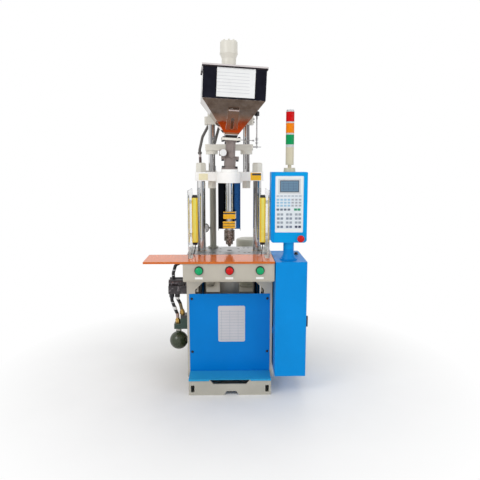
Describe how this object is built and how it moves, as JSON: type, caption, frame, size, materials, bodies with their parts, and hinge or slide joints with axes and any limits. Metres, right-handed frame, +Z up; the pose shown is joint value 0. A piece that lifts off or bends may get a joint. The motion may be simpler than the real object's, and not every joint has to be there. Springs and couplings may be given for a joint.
{
  "type": "desktop injection moulding machine",
  "caption": "Vertical injection moulding machine: hopper-fed barrel on a sliding clamp above a steel platen, with table, side cabinet, controller, light curtains and signal light.",
  "frame": {"origin": "centre of the anchor bolt pattern on the floor, under the clamp axis", "axes": "+Z up, front with the push buttons towards -Y, control cabinet towards +X"},
  "size_m": [0.8133, 0.7865, 1.797],
  "materials": {
    "beige_paint": "satin",
    "white_paint": "gloss",
    "blue_paint": "gloss",
    "cover_blue_paint": "satin",
    "olive_paint": "gloss",
    "green_paint": "gloss",
    "yellow_paint": "satin",
    "polished_steel": "mirror polish",
    "machined_steel": "ground",
    "dark_steel": "black oxide",
    "hard_chrome": "polished",
    "bronze": "turned",
    "orange_sheet": "gloss",
    "amber_plate": "satin",
    "clear_sheet": "clear",
    "sight_window": "clear",
    "black_rubber": "matte",
    "white_plate": "satin",
    "key_panel": "satin",
    "black_bezel": "satin",
    "green_button": "gloss",
    "red_button": "gloss",
    "lamp_lens": "gloss",
    "light_housing": "satin",
    "grey_plastic": "matte"
  },
  "bodies": {
    "frame": {"base_frame": "beige_paint", "side_plates": "beige_paint", "cross_frames": "beige_paint", "front_cover": "cover_blue_paint", "cover_screws": "machined_steel", "bare_plates": "white_plate", "button_box": "beige_paint", "button_bezels": "black_bezel", "table_plate": "orange_sheet", "lower_platen": "machined_steel", "tie_bar_bushes": "bronze", "clamp_cylinder": "white_paint", "side_guards": "clear_sheet", "guard_brackets": "dark_steel", "light_bars": "yellow_paint", "gauge_post": "olive_paint", "oil_tank": "beige_paint", "pump_motor": "olive_paint", "rear_cover": "beige_paint", "valve_manifold": "green_paint", "hydraulic_hoses": "black_rubber", "cabinet_shell": "blue_paint", "cabinet_electrics": "grey_plastic", "pedestal": "blue_paint", "controller_case": "blue_paint", "control_panel": "key_panel", "signal_light": "light_housing", "light_lenses": "lamp_lens"},
    "clamp_unit": {"crosshead": "white_paint", "tie_bars": "hard_chrome", "bar_nuts": "dark_steel", "upper_platen": "white_paint", "barrel": "machined_steel", "nozzle": "machined_steel", "barrel_jackets": "polished_steel", "clamp_plates": "amber_plate", "barrel_guard": "dark_steel", "guide_rods": "hard_chrome", "top_beam": "white_paint", "injection_cylinder": "white_paint", "cap_screws": "dark_steel", "feed_tube": "white_paint", "gate_frame": "white_paint", "hopper": "polished_steel", "sight_glass": "sight_window", "clamp_hoses": "black_rubber"},
    "injection_unit": {"injection_beam": "white_paint", "plunger": "hard_chrome", "injection_ram": "hard_chrome", "stroke_rod": "machined_steel"},
    "hopper_cover": {"hopper_lid": "polished_steel"},
    "feed_gate": {"slide_gate": "machined_steel"},
    "drain_plug": {"discharge_plug": "machined_steel"},
    "lock_knob": {"tube_knob": "dark_steel"},
    "left_start": {"left_start_button": "green_button"},
    "stop": {"stop_button": "red_button"},
    "right_start": {"right_start_button": "green_button"},
    "emergency": {"emergency_stop": "red_button"},
    "door": {"cabinet_door": "blue_paint"},
    "latch": {"door_latch": "dark_steel"}
  },
  "joints": [
    {"name": "clamp_slide", "type": "slide", "parent": "frame", "child": "clamp_unit", "axis": [0, 0, 1], "range_m": [-0.02, 0.14]},
    {"name": "injection_slide", "type": "slide", "parent": "clamp_unit", "child": "injection_unit", "axis": [0, 0, 1], "range_m": [-0.042, 0.06]},
    {"name": "lid_lift", "type": "slide", "parent": "clamp_unit", "child": "hopper_cover", "axis": [0.0454, 0, 0.999], "range_m": [0, 0.055]},
    {"name": "gate_slide", "type": "slide", "parent": "clamp_unit", "child": "feed_gate", "axis": [0.9952, 0.0872, -0.0452], "range_m": [0, 0.048]},
    {"name": "plug_pull", "type": "slide", "parent": "clamp_unit", "child": "drain_plug", "axis": [0.0871, -0.9962, -0.004], "range_m": [0, 0.04]},
    {"name": "knob_turn", "type": "hinge", "parent": "clamp_unit", "child": "lock_knob", "pos_m": [0.01219, -0.15132, 1.20361], "axis": [-0.0871, 0.9962, 0.004], "range_deg": [-180, 180]},
    {"name": "left_start_press", "type": "slide", "parent": "frame", "child": "left_start", "axis": [0, 1, 0], "range_m": [0, 0.004], "stiffness_N_per_m": 400, "springref_m": -0.003},
    {"name": "stop_press", "type": "slide", "parent": "frame", "child": "stop", "axis": [0, 1, 0], "range_m": [0, 0.004], "stiffness_N_per_m": 400, "springref_m": -0.003},
    {"name": "right_start_press", "type": "slide", "parent": "frame", "child": "right_start", "axis": [0, 1, 0], "range_m": [0, 0.004], "stiffness_N_per_m": 400, "springref_m": -0.003},
    {"name": "emergency_press", "type": "slide", "parent": "frame", "child": "emergency", "axis": [0, 1, 0], "range_m": [0, 0.004], "stiffness_N_per_m": 400, "springref_m": -0.003},
    {"name": "door_hinge", "type": "hinge", "parent": "frame", "child": "door", "pos_m": [0.383, -0.012, 0.391], "axis": [0, 0, 1], "range_deg": [0, 110]},
    {"name": "latch_turn", "type": "hinge", "parent": "door", "child": "latch", "pos_m": [0.379, -0.316, 0.391], "axis": [1, 0, 0], "range_deg": [0, 90]}
  ]
}
